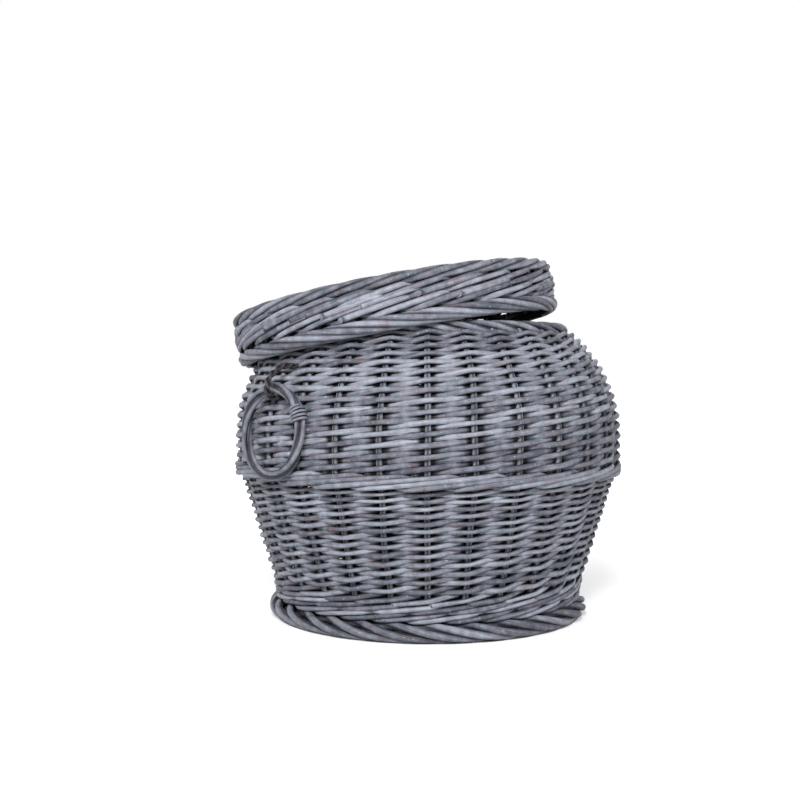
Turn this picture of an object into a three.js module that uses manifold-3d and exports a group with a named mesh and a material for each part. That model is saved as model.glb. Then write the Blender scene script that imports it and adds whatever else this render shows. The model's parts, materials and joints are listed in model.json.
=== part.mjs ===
// Lidded laundry basket of stained willow: a bellied round basket, a loose cap lid lying ajar on it,
// and two twisted ring handles. Millimetres, +Z up, origin on the floor under the basket's axis.
// The handles hang at -X and +X. Angles round the axis start at -Y and run towards +X.
import * as THREE from 'three';
import { mergeVertices } from 'three/addons/utils/BufferGeometryUtils.js';
import Module from 'manifold-3d';

const wasm = await Module();
wasm.setup();

// Rods and clearances
const stakeCount = 28;
const stakeDiameter = 7;
const weaverDiameter = 5.5;
const splitStickDiameter = 10;
const threadedStickDiameter = 5.5;
const threadedStickGap = 2.7;
const splitStickCount = 4;
const threadedStickCount = 3;
const seatGap = 0.3;

// Basket wall: outside radii and heights, from the floor up
const footRadius = 186;
const footBorderWidth = 22;
const footBorderHeight = 22;
const waistRadius = 182;
const bottomWaleHeight = 20;
const lowerBandBaseRadius = 185;
const lowerBandHeight = 126;
const bellyWaleHeight = 16;
const bellyRadius = 230;
const bellyStep = 5;
const shoulderRise = 28;
const domeRadius = 161.5;
const neckRadius = 171;
const rimBorderDiameter = 20;

// Base
const baseThickness = 14;
const baseHeight = 8;
const slathOpening = 25;

// Lid
const lidRadius = 194;
const lidHeight = 61;
const lidBorderDiameter = 18;
const lidTopBorderWidth = 18;
const lidTopBorderHeight = 15;
const lidSkirtInset = 2;
const lidSkirtThickness = 14;
const lidTopThickness = 14;
const lidTopDrop = 4;
const lidShift = 35;
const lidLeanAngle = 212;

// Ring handles and the loops that they hang in
const ringDiameter = 108;
const ringThickness = 14;
const ringHeight = 272;
const ringStandOff = 6;
const loopRodDiameter = 6;
const loopClearance = 1;
const loopRise = 12;
const loopSeatDepth = 12;
const bindingLength = 16;
const bindingThickness = 2;
const bindingAngle = 65;

// Lay of the twisted rods and depth of the weave
const borderGroove = 2.2;
const footLay = 4;
const rimLay = 3;
const lidBorderLay = 3;
const lidTopLay = -3;
const ringStrands = 3;
const ringTwists = 12;
const ringGroove = 2;
const bandRelief = 4.2;
const lowerFirstRow = 11;
const lowerLastRow = 7.4;
const upperFirstRow = 12.3;
const upperLastRow = 10;
const waleRelief = 1.5;
const waleRowPitch = 16;
const discRelief = 4.5;

// Facets
const rodSides = 6;
const stakeSides = 5;
const stakeBends = 6;
const stickSteps = 4;
const loopSteps = 12;
const loopBends = 6;
const upperInnerSteps = 4;
const borderSteps = 6;
const bindingSides = 8;
const bindingSteps = 3;
const settleSamples = 90;
const settleHalvings = 40;
const steepestLean = Math.PI / 4;

// Heights and radii that follow from the sizes above
const pitch = (2 * Math.PI) / stakeCount;
const discColumns = 4 * (splitStickCount + threadedStickCount);
const wallThickness = stakeDiameter + 2 * weaverDiameter;
const footCentreRadius = footRadius - footBorderWidth / 2;
const bottomWaleBase = footBorderHeight;
const lowerBandBase = bottomWaleBase + bottomWaleHeight;
const bellyWaleBase = lowerBandBase + lowerBandHeight;
const upperBandBase = bellyWaleBase + bellyWaleHeight;
const shoulderHeight = upperBandBase + shoulderRise;
const lowerBandTopRadius = bellyRadius - bellyStep;
const domeCentreRadius = bellyRadius - domeRadius;
const neckTurn = Math.acos((neckRadius - domeCentreRadius) / domeRadius);
const rimCentre = domePoint(domeRadius - wallThickness / 2, neckTurn)
  .add(domeTangent(neckTurn).multiplyScalar(rimBorderDiameter / 2 + seatGap));
const rimDepth = rimBorderDiameter * Math.cos(Math.PI / borderSteps);
const lowerFlare = Math.atan((lowerBandTopRadius - lowerBandBaseRadius) / lowerBandHeight);

const willow = { color: 0x7c8089, roughness: 0.72, metalness: 0 };
const borderWillow = { color: 0x757982, roughness: 0.7, metalness: 0 };
const frameWillow = { color: 0x6a6d76, roughness: 0.78, metalness: 0 };
const skein = { color: 0x868a93, roughness: 0.66, metalness: 0 };

// A point of the shoulder's arc, at a distance from the arc's centre, as radius and height
function domePoint(distance, turn) {
  return new THREE.Vector2(
    domeCentreRadius + distance * Math.cos(turn),
    shoulderHeight + distance * Math.sin(turn),
  );
}

function domeTangent(turn) {
  return new THREE.Vector2(-Math.sin(turn), Math.cos(turn));
}

// Outside radius of the wall at a height above the bottom wale
function wallRadius(height) {
  if (height > shoulderHeight) {
    return domeCentreRadius + Math.sqrt(domeRadius ** 2 - (height - shoulderHeight) ** 2);
  }
  if (height > bellyWaleBase) {
    return bellyRadius;
  }
  const share = (height - lowerBandBase) / lowerBandHeight;
  return THREE.MathUtils.lerp(lowerBandBaseRadius, lowerBandTopRadius, share);
}

// Distance of a point from the wall's outside, measured square to the wall
function wallClearance(radius, height) {
  if (height > shoulderHeight) {
    return Math.hypot(radius - domeCentreRadius, height - shoulderHeight) - domeRadius;
  }
  const across = radius - wallRadius(height);
  return height > bellyWaleBase ? across : across * Math.cos(lowerFlare);
}

// Distance of a point from a border's section, by its offsets out and up from the section's middle,
// taken to the face that it lies farthest out of
function sectionClearance(out, up, depth) {
  let farthest = -Infinity;
  for (let face = 0; face < borderSteps; face += 1) {
    const turn = 1.5 * Math.PI + (2 * Math.PI * face) / borderSteps;
    farthest = Math.max(farthest, out * Math.cos(turn) + up * Math.sin(turn) - depth / 2);
  }
  return farthest;
}

// Radius of the wall's corners at the stakes, for a point on one of the flats between them
function cornerRadius(point) {
  const angle = Math.atan2(point.x, -point.y);
  const offMiddle = angle - Math.round(angle / pitch) * pitch;
  return (Math.hypot(point.x, point.y) * Math.cos(offMiddle)) / Math.cos(pitch / 2);
}

// Value between low and high where a test turns from false to true
function turningPoint(low, high, test) {
  let below = low;
  let above = high;
  for (let halving = 0; halving < settleHalvings; halving += 1) {
    const middle = (below + above) / 2;
    if (test(middle)) {
      above = middle;
    } else {
      below = middle;
    }
  }
  return above;
}

// Closed mesh with shared corners and its faces pointing out
function closed(geometry) {
  geometry.deleteAttribute('normal');
  geometry.deleteAttribute('uv');
  const merged = mergeVertices(geometry);
  const position = merged.attributes.position;
  const index = merged.index.array;
  const [a, b, c] = [new THREE.Vector3(), new THREE.Vector3(), new THREE.Vector3()];
  let volume = 0;
  for (let at = 0; at < index.length; at += 3) {
    a.fromBufferAttribute(position, index[at]);
    b.fromBufferAttribute(position, index[at + 1]);
    c.fromBufferAttribute(position, index[at + 2]);
    volume += a.dot(b.cross(c));
  }
  if (volume < 0) {
    for (let at = 0; at < index.length; at += 3) {
      [index[at], index[at + 1]] = [index[at + 1], index[at]];
    }
  }
  return merged;
}

function toSolid(geometry) {
  const vertProperties = new Float32Array(geometry.attributes.position.array);
  const triVerts = new Uint32Array(geometry.index.array);
  return new wasm.Manifold(new wasm.Mesh({ numProp: 3, vertProperties, triVerts }));
}

// A body with every cutter taken out of it
function cutBy(geometry, cutters) {
  let solid = toSolid(geometry);
  for (const cutter of cutters) {
    solid = solid.subtract(toSolid(cutter));
  }
  const mesh = solid.getMesh();
  const result = new THREE.BufferGeometry();
  result.setAttribute('position', new THREE.BufferAttribute(mesh.vertProperties, 3));
  result.setIndex(new THREE.BufferAttribute(mesh.triVerts, 1));
  return result;
}

function polygon(radius, sides) {
  const corners = Array.from({ length: sides }, (_, corner) => {
    const turn = (2 * Math.PI * (corner + 0.5)) / sides;
    return new THREE.Vector2(radius * Math.cos(turn), radius * Math.sin(turn));
  });
  return new THREE.Shape(corners);
}

// A willow rod along a curve
function rod(curve, diameter, steps, sides = rodSides) {
  const section = polygon(diameter / 2, sides);
  return closed(new THREE.ExtrudeGeometry(section, { steps, bevelEnabled: false, extrudePath: curve }));
}

// The square channel that a rod is threaded through, with the seat gap on each flat
function channel(curve, diameter, steps) {
  const squareSides = 4;
  const corner = (diameter + 2 * seatGap) * Math.SQRT2;
  return rod(curve, corner, steps, squareSides);
}

// Shares of a woven ring's height at its edges, its strokes and the hollows between them. The rows get
// lower from the first to the last, as the rods taper.
function rowShares(height, firstRow, lastRow) {
  const rows = Math.round((2 * height) / (firstRow + lastRow));
  const whole = (rows * (firstRow + lastRow)) / 2;
  return Array.from({ length: 2 * rows + 1 }, (_, half) => {
    const row = half / 2;
    const climb = firstRow * row + ((lastRow - firstRow) * row ** 2) / (2 * rows);
    return Math.min(climb / whole, 1);
  });
}

// A woven ring of the wall between an outer and an inner line, with a rib for each row of strokes.
// The lines give radius and height, and every other share is a hollow, sunk towards the inner line.
function wovenRing(outerLine, innerLine, shares, innerSteps, relief) {
  const outer = shares.map((share, place) => {
    const point = outerLine.getPoint(share);
    const sunk = place % 2 === 0 ? relief : 0;
    const inward = innerLine.getPoint(share).sub(point).setLength(sunk);
    return point.add(inward);
  });
  const inner = innerLine.getSpacedPoints(innerSteps).reverse();
  const geometry = new THREE.LatheGeometry([...outer, ...inner, outer[0]], stakeCount, pitch / 2);
  geometry.rotateX(Math.PI / 2);
  return closed(geometry);
}

function straightLine(startRadius, startHeight, endRadius, endHeight) {
  const line = new THREE.Path();
  line.moveTo(startRadius, startHeight);
  line.lineTo(endRadius, endHeight);
  return line;
}

// A corner of a border's section, flat above and below: its turn, and its offsets out and up
function sectionCorner(step, width, depth) {
  const turn = 1.5 * Math.PI + (Math.PI * (2 * step + 1)) / borderSteps;
  const out = (width / 2) * Math.cos(turn);
  const up = ((depth / 2) * Math.sin(turn)) / Math.cos(Math.PI / borderSteps);
  return { turn, out, up };
}

// A laid-in border: a ring whose rods run slantwise round its section, each in a groove of its own.
// Its mesh lines follow the rods' crests and the grooves between them.
function laidRing({ radius, height, width, depth, rods, lay, groove, flatFoot = false }) {
  const lines = 2 * rods;
  const positions = [];
  for (let line = 0; line < lines; line += 1) {
    const sunk = line % 2 === 0 ? 0 : 2 * groove;
    for (let step = 0; step < borderSteps; step += 1) {
      const { turn, out, up } = sectionCorner(step, width - sunk, depth - sunk);
      const stands = flatFoot && (step === 0 || step === borderSteps - 1);
      const angle = (Math.PI * line - lay * turn) / rods;
      const reach = radius + out;
      const lift = height + (stands ? -depth / 2 : up);
      positions.push(reach * Math.sin(angle), -reach * Math.cos(angle), lift);
    }
  }
  const corner = (line, step) => {
    const wraps = step === borderSteps ? 2 * lay : 0;
    const home = (((line - wraps) % lines) + lines) % lines;
    return home * borderSteps + (step % borderSteps);
  };
  const index = [];
  for (let line = 0; line < lines; line += 1) {
    for (let step = 0; step < borderSteps; step += 1) {
      const [a, b] = [corner(line, step), corner(line + 1, step)];
      const [c, d] = [corner(line + 1, step + 1), corner(line, step + 1)];
      index.push(a, b, c, a, c, d);
    }
  }
  const geometry = new THREE.BufferGeometry();
  geometry.setAttribute('position', new THREE.Float32BufferAttribute(positions, 3));
  geometry.setIndex(index);
  return closed(geometry);
}

// Middle line of one stake, in the plane of angle zero, from the foot border to the rim border, with
// a length added past each end of the wall. The stake bends at these knots, however far apart they are.
function stakeLine(added) {
  const middle = wallThickness / 2;
  const domeMiddle = domeRadius - middle;
  const neck = domePoint(domeMiddle, neckTurn).add(domeTangent(neckTurn).multiplyScalar(added));
  const knots = [
    new THREE.Vector2(waistRadius - middle, bottomWaleBase + seatGap - added),
    new THREE.Vector2(lowerBandBaseRadius - middle, lowerBandBase),
    new THREE.Vector2(lowerBandTopRadius - middle, bellyWaleBase),
    new THREE.Vector2(bellyRadius - middle, upperBandBase),
    domePoint(domeMiddle, neckTurn / 6),
    domePoint(domeMiddle, (7 * neckTurn) / 12),
    neck,
  ];
  const line = new THREE.CatmullRomCurve3(knots.map((knot) => new THREE.Vector3(0, -knot.x, knot.y)));
  line.getUtoTmapping = (share) => share;
  return line;
}

// The sticks of a round base or lid top: thick sticks are split and thin ones threaded through them,
// then all of them fan out to even spokes. Their channels run a little past their ends.
function slath(reach, height) {
  const spokeStep = Math.PI / (splitStickCount + threadedStickCount);
  const splitPitch = splitStickDiameter + seatGap;
  const threadedPitch = threadedStickDiameter + threadedStickGap;
  const fan = (count, across, bundle, end, along) =>
    Array.from({ length: count }, (_, stick) => {
      const place = stick - (count - 1) / 2;
      const turn = place * spokeStep;
      const points = [
        [-end * Math.cos(turn), end * Math.sin(turn)],
        [-bundle, place * across],
        [0, place * across],
        [bundle, place * across],
        [end * Math.cos(turn), end * Math.sin(turn)],
      ];
      return new THREE.CatmullRomCurve3(points.map(([x, y]) => along(x, y)));
    });
  const splitLines = (end) => fan(splitStickCount, splitPitch, (threadedPitch * threadedStickCount) / 2,
    end, (x, y) => new THREE.Vector3(x, y, height));
  const threadedLines = (end) => fan(threadedStickCount, threadedPitch, (splitPitch * splitStickCount) / 2,
    end, (x, y) => new THREE.Vector3(y, x, height));
  const past = reach + seatGap;
  const seats = splitLines(past).map((line) => channel(line, splitStickDiameter, stickSteps));
  const slits = threadedLines(past).map((line) => channel(line, threadedStickDiameter, stickSteps));
  return {
    split: splitLines(reach).map((line) => cutBy(rod(line, splitStickDiameter, stickSteps), slits)),
    threaded: threadedLines(reach).map((line) => rod(line, threadedStickDiameter, stickSteps)),
    channels: [...seats, ...slits],
  };
}

// A woven disc round a slath, from the slath's opening out to a radius. It stands up along the spokes
// and is sunk between them, where the weaving crosses from one face to the other.
function wovenDisc(radius, base, thickness, channels) {
  const section = [
    new THREE.Vector2(slathOpening, base),
    new THREE.Vector2(radius, base),
    new THREE.Vector2(radius, base + thickness),
    new THREE.Vector2(slathOpening, base + thickness),
    new THREE.Vector2(slathOpening, base),
  ];
  const disc = new THREE.LatheGeometry(section, discColumns);
  const position = disc.attributes.position;
  for (let column = 1; column < discColumns; column += 2) {
    const [lowEdge, highEdge] = [1, 2].map((corner) => column * section.length + corner);
    position.setY(lowEdge, base + discRelief);
    position.setY(highEdge, base + thickness - discRelief);
  }
  disc.rotateX(Math.PI / 2);
  return cutBy(closed(disc), channels);
}

function addPiece(parent, name, geometry, finish) {
  const mesh = new THREE.Mesh(geometry, new THREE.MeshStandardMaterial(finish));
  mesh.name = name;
  parent.add(mesh);
  return mesh;
}

const basket = new THREE.Group();

// Stakes, threaded up through every ring of the wall
const stake = rod(stakeLine(0), stakeDiameter, stakeBends, stakeSides);
const stakeChannel = channel(stakeLine(seatGap), stakeDiameter, stakeBends);
const stakeAngles = Array.from({ length: stakeCount }, (_, place) => (place + 0.5) * pitch);
const stakeChannels = stakeAngles.map((angle) => stakeChannel.clone().rotateZ(angle));
stakeAngles.forEach((angle, place) => {
  addPiece(basket, `stake_${place + 1}`, stake.clone(), frameWillow).rotation.z = angle;
});

// Loops for the ring handles, bent out of one rod with both legs in the wall
const ringTube = ringThickness / 2;
const ringRadius = ringDiameter / 2 - ringTube;
const pivotRadius = wallRadius(ringHeight) + ringTube + ringStandOff;
const loopRadius = ringTube + loopClearance + loopRodDiameter / 2;
const handleAngles = { right: Math.PI / 2, left: -Math.PI / 2 };

// The loop's middle line: round under the ring's tube, and drawn up along the wall over it
function loopLine(seatDepth) {
  const legTop = ringHeight + loopRadius + loopRise;
  const wallLean = wallRadius(ringHeight) - wallRadius(legTop);
  const legs = [legTop, ringHeight - loopRadius].map(
    (height) => new THREE.Vector3(0, -(wallRadius(height) - seatDepth), height),
  );
  const bow = Array.from({ length: loopBends + 1 }, (_, bend) => {
    const turn = Math.PI / 2 - (Math.PI * bend) / loopBends;
    const above = Math.max(Math.sin(turn), 0);
    const reach = pivotRadius + loopRadius * Math.cos(turn) - wallLean * above ** 2;
    return new THREE.Vector3(0, -reach, ringHeight + loopRadius * Math.sin(turn) + loopRise * above);
  });
  return new THREE.CatmullRomCurve3([legs[0], ...bow, legs[1]]);
}

const loop = rod(loopLine(loopSeatDepth), loopRodDiameter, loopSteps);
const loopHole = channel(loopLine(loopSeatDepth + seatGap), loopRodDiameter, loopSteps);
const loopHoles = Object.values(handleAngles).map((angle) => loopHole.clone().rotateZ(angle));
const loops = Object.entries(handleAngles).map(([side, angle]) =>
  addPiece(basket, `${side}_handle_loop`, loop.clone().rotateZ(angle), borderWillow));

// Wall, ring by ring
addPiece(basket, 'foot_border', laidRing({
  radius: footCentreRadius,
  height: footBorderHeight / 2,
  width: footBorderWidth,
  depth: footBorderHeight,
  rods: stakeCount,
  lay: footLay,
  groove: borderGroove,
  flatFoot: true,
}), borderWillow);

function conicalRing(startRadius, start, endRadius, end, shares, relief) {
  const outer = straightLine(startRadius, start + seatGap, endRadius, end);
  const inner = straightLine(startRadius - wallThickness, start + seatGap, endRadius - wallThickness, end);
  return cutBy(wovenRing(outer, inner, shares, 1, relief), stakeChannels);
}

const waleShares = (height) => rowShares(height, waleRowPitch, waleRowPitch);
const lowerShares = rowShares(lowerBandHeight / Math.cos(lowerFlare), lowerFirstRow, lowerLastRow);
const bottomWale = conicalRing(waistRadius, bottomWaleBase, lowerBandBaseRadius, lowerBandBase,
  waleShares(bottomWaleHeight), waleRelief);
const lowerBand = conicalRing(lowerBandBaseRadius, lowerBandBase, lowerBandTopRadius, bellyWaleBase,
  lowerShares, bandRelief);
const bellyWale = conicalRing(bellyRadius, bellyWaleBase, bellyRadius, upperBandBase,
  waleShares(bellyWaleHeight), waleRelief);
addPiece(basket, 'bottom_wale', bottomWale, willow);
addPiece(basket, 'lower_band', lowerBand, willow);
addPiece(basket, 'belly_wale', bellyWale, willow);

function domeLine(inset) {
  const line = new THREE.Path();
  line.moveTo(bellyRadius - inset, upperBandBase + seatGap);
  line.lineTo(bellyRadius - inset, shoulderHeight);
  line.absarc(domeCentreRadius, shoulderHeight, domeRadius - inset, 0, neckTurn, false);
  return line;
}

const upperBandLength = shoulderRise + domeRadius * neckTurn;
const upperShares = rowShares(upperBandLength, upperFirstRow, upperLastRow);
const upperBand = wovenRing(domeLine(0), domeLine(wallThickness), upperShares, upperInnerSteps, bandRelief);
addPiece(basket, 'upper_band', cutBy(upperBand, [...stakeChannels, ...loopHoles]), willow);

const rimBorder = addPiece(basket, 'rim_border', laidRing({
  radius: rimCentre.x,
  height: rimCentre.y,
  width: rimBorderDiameter,
  depth: rimDepth,
  rods: stakeCount,
  lay: rimLay,
  groove: borderGroove,
}), borderWillow);

// Base: a slath of split and threaded sticks with the weave round it
const baseRadius = Math.min(footRadius - footBorderWidth, waistRadius - wallThickness) - seatGap;
const baseSlath = slath(baseRadius, baseHeight + baseThickness / 2);
baseSlath.split.forEach((geometry, stick) => {
  addPiece(basket, `base_split_stick_${stick + 1}`, geometry, frameWillow);
});
baseSlath.threaded.forEach((geometry, stick) => {
  addPiece(basket, `base_threaded_stick_${stick + 1}`, geometry, frameWillow);
});
const baseWeave = wovenDisc(baseRadius, baseHeight, baseThickness, baseSlath.channels);
addPiece(basket, 'base_weave', baseWeave, willow);

// Lid, built level about its own axis, with its lower edge at height zero
const lid = new THREE.Group();
const lidSkirtRadius = lidRadius - lidSkirtInset;
const lidSkirtTop = lidHeight - lidTopBorderHeight - seatGap;
// The woven top's corners reach to the skirt's flats, and its flats to the top border's rods
const lidTopRadius = Math.min(
  (lidSkirtRadius - lidSkirtThickness) * Math.cos(pitch / 2),
  (lidRadius - lidTopBorderWidth) / Math.cos(Math.PI / discColumns),
) - seatGap;
const lidTopBase = lidHeight - lidTopDrop - lidTopThickness;
const lidBorderCentre = new THREE.Vector2(lidRadius - lidBorderDiameter / 2, lidBorderDiameter / 2);

const lidLowerBorder = addPiece(lid, 'lid_lower_border', laidRing({
  radius: lidBorderCentre.x,
  height: lidBorderCentre.y,
  width: lidBorderDiameter,
  depth: lidBorderDiameter,
  rods: stakeCount,
  lay: lidBorderLay,
  groove: borderGroove,
}), borderWillow);
addPiece(lid, 'lid_top_border', laidRing({
  radius: lidRadius - lidTopBorderWidth / 2,
  height: lidHeight - lidTopBorderHeight / 2,
  width: lidTopBorderWidth,
  depth: lidTopBorderHeight,
  rods: stakeCount,
  lay: lidTopLay,
  groove: borderGroove,
}), borderWillow);
addPiece(lid, 'lid_skirt', wovenRing(
  straightLine(lidSkirtRadius, lidBorderDiameter + seatGap, lidSkirtRadius, lidSkirtTop),
  straightLine(lidSkirtRadius - lidSkirtThickness, lidBorderDiameter + seatGap,
    lidSkirtRadius - lidSkirtThickness, lidSkirtTop),
  waleShares(lidSkirtTop - lidBorderDiameter),
  1,
  waleRelief,
), willow);
const lidSlath = slath(lidTopRadius, lidTopBase + lidTopThickness / 2);
lidSlath.split.forEach((geometry, stick) => {
  addPiece(lid, `lid_split_stick_${stick + 1}`, geometry, frameWillow);
});
lidSlath.threaded.forEach((geometry, stick) => {
  addPiece(lid, `lid_threaded_stick_${stick + 1}`, geometry, frameWillow);
});
addPiece(lid, 'lid_top', wovenDisc(lidTopRadius, lidTopBase, lidTopThickness, lidSlath.channels), willow);

// The lid lies ajar: pushed aside, it rests with its low side on the shoulder and across the rim
const leanAngle = THREE.MathUtils.degToRad(lidLeanAngle);
const lean = new THREE.Vector3(Math.sin(leanAngle), -Math.cos(leanAngle), 0);
const tiltAxis = new THREE.Vector3(0, 0, 1).cross(lean);

function placeLid(tilt, height) {
  lid.position.copy(lean).multiplyScalar(lidShift).setZ(height);
  lid.quaternion.setFromAxisAngle(tiltAxis, tilt);
  lid.updateMatrix();
}

// Least gap under the lid, on its low or its high half: from its lower border to the wall, the rim and
// the loops, and from its woven top to the rim
function lidGap(lowHalf) {
  const toLid = lid.matrix.clone().invert();
  const point = new THREE.Vector3();
  let least = Infinity;
  const measure = (mesh, gapAt) => {
    const corners = mesh.geometry.attributes.position;
    for (let corner = 0; corner < corners.count; corner += 1) {
      point.fromBufferAttribute(corners, corner);
      if (point.dot(lean) > 0 === lowHalf) {
        least = Math.min(least, gapAt());
      }
    }
  };
  measure(lidLowerBorder, () => {
    point.applyMatrix4(lid.matrix);
    const out = Math.hypot(point.x, point.y) - rimCentre.x;
    const toRim = sectionClearance(out, point.z - rimCentre.y, rimDepth);
    return Math.min(toRim, wallClearance(cornerRadius(point), point.z));
  });
  measure(rimBorder, () => lidTopBase - point.applyMatrix4(toLid).z);
  loops.forEach((mesh) => measure(mesh, () => {
    point.applyMatrix4(toLid);
    const out = Math.hypot(point.x, point.y) - lidBorderCentre.x;
    return sectionClearance(out, point.z - lidBorderCentre.y, lidBorderDiameter);
  }));
  return least;
}

function settledHeight(tilt) {
  const tooHigh = rimCentre.y + lidRadius;
  return turningPoint(shoulderHeight, tooHigh, (height) => {
    placeLid(tilt, height);
    return Math.min(lidGap(true), lidGap(false)) > seatGap;
  });
}

const lidTilt = turningPoint(0, steepestLean, (tilt) => {
  placeLid(tilt, settledHeight(tilt));
  return lidGap(true) < lidGap(false);
});
placeLid(lidTilt, settledHeight(lidTilt));
basket.add(lid);

// Ring handles, each hanging in its loop and leaning on the wall with its rods or its binding
const bindingMiddle = THREE.MathUtils.degToRad(bindingAngle);
const bindingSweep = bindingLength / ringRadius;
const bindingInside = (ringTube + seatGap) / Math.cos(Math.PI / bindingSides);

function ringGap(hang) {
  let least = Infinity;
  for (let sample = 0; sample < settleSamples; sample += 1) {
    const turn = (2 * Math.PI * sample) / settleSamples;
    const drop = ringRadius * (1 - Math.cos(turn));
    const out = pivotRadius + drop * Math.sin(hang);
    const radius = Math.hypot(ringRadius * Math.sin(turn), out);
    const bound = Math.abs(turn - bindingMiddle) < bindingSweep / 2;
    const reach = bound ? bindingInside + bindingThickness : ringTube;
    const gap = wallClearance(radius, ringHeight - drop * Math.cos(hang)) - reach;
    least = Math.min(least, gap);
  }
  return least;
}

const ringHang = turningPoint(0, steepestLean, (hang) => ringGap(hang) > seatGap);
const twistedRing = laidRing({
  radius: ringRadius,
  height: 0,
  width: ringThickness,
  depth: ringThickness * Math.cos(Math.PI / borderSteps),
  rods: ringTwists,
  lay: ringStrands,
  groove: ringGroove,
});

// Wrapped skein: a sleeve bent to the ring
function skeinSleeve() {
  const section = polygon(bindingInside + bindingThickness, bindingSides);
  section.holes.push(polygon(bindingInside, bindingSides));
  const arc = Array.from({ length: bindingSteps + 1 }, (_, step) => {
    const turn = bindingMiddle + bindingSweep * (step / bindingSteps - 0.5);
    return new THREE.Vector3(ringRadius * Math.sin(turn), ringRadius * Math.cos(turn), 0);
  });
  const extrudePath = new THREE.CatmullRomCurve3(arc);
  const options = { steps: bindingSteps, bevelEnabled: false, extrudePath };
  return closed(new THREE.ExtrudeGeometry(section, options));
}

const sleeve = skeinSleeve();
for (const [side, angle] of Object.entries(handleAngles)) {
  const handle = new THREE.Group();
  const hanging = new THREE.Group();
  hanging.position.set(0, -pivotRadius, ringHeight);
  hanging.rotation.x = Math.PI / 2 - ringHang;
  addPiece(hanging, `${side}_ring`, twistedRing.clone(), borderWillow).position.y = -ringRadius;
  addPiece(hanging, `${side}_ring_binding`, sleeve.clone(), skein).position.y = -ringRadius;
  handle.rotation.z = angle;
  handle.add(hanging);
  basket.add(handle);
}

export default basket;
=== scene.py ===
# Lidded laundry basket of grey-stained willow, woven rod by rod over its CAD frame.
# Lengths are metres, unless a note says mm.
import json
import math
import bpy
import numpy as np
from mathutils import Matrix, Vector


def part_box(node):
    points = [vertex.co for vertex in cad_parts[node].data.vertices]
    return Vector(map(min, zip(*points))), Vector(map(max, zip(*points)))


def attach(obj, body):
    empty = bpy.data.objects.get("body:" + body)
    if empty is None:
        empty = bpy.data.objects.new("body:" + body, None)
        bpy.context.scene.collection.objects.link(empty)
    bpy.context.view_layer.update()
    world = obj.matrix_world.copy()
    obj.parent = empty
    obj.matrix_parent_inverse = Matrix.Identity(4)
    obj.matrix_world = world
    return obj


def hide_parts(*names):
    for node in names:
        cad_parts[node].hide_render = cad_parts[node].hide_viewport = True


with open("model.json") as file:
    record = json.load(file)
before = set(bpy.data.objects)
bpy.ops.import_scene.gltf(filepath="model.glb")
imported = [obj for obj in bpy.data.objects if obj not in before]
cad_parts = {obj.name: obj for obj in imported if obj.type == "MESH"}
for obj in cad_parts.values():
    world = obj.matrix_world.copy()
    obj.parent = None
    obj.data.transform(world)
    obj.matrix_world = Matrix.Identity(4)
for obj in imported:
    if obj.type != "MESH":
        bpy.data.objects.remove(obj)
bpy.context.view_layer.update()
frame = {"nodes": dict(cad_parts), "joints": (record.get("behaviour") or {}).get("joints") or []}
mm = 0.001
draw = np.random.default_rng(28)  # the one seeded source of every small irregularity
stakeCount = sum(name.startswith("stake_") for name in frame["nodes"])
pitch = 2 * math.pi / stakeCount  # angle from one stake to the next
print("frame loaded with", stakeCount, "stakes")

# Camera at the photo's angle
viewpoint = {
    "azimuth": -45.0,    # degrees round the basket
    "distance": 1.420,   # level, from the basket's axis
    "height": 0.298,
    "focal": 52.9,       # mm on the sensor below
    "sensor": 36.0,
    "turnLeft": 1.34,    # degrees, because the basket stands right of the middle
    "dip": 1.79,         # degrees below level
}


def addCamera(spec):
    # It stands at its distance round the axis, looks level at the axis, then turns and dips
    around = math.radians(spec["azimuth"])
    data = bpy.data.cameras.new("camera")
    data.lens = spec["focal"]
    data.sensor_width = spec["sensor"]
    camera = bpy.data.objects.new("camera", data)
    reach = spec["distance"]
    camera.location = (reach * math.sin(around), -reach * math.cos(around), spec["height"])
    camera.rotation_euler = (math.radians(90 - spec["dip"]), 0, around + math.radians(spec["turnLeft"]))
    bpy.context.scene.collection.objects.link(camera)
    bpy.context.scene.camera = camera


addCamera(viewpoint)


# Materials
def linear(code):
    # sRGB hex to linear colour
    parts = np.array([int(code[at:at + 2], 16) for at in (1, 3, 5)]) / 255
    bright = np.where(parts <= 0.04045, parts / 12.92, ((parts + 0.055) / 1.055) ** 2.4)
    return (*bright.tolist(), 1.0)


def addNode(tree, kind, inputs=None, **settings):
    # One node with its settings: an input is a plain value, or an output socket to link
    node = tree.nodes.new(kind)
    for key, value in settings.items():
        setattr(node, key, value)
    for key, value in (inputs or {}).items():
        if isinstance(value, bpy.types.NodeSocket):
            tree.links.new(value, node.inputs[key])
        else:
            node.inputs[key].default_value = value
    return node


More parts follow.
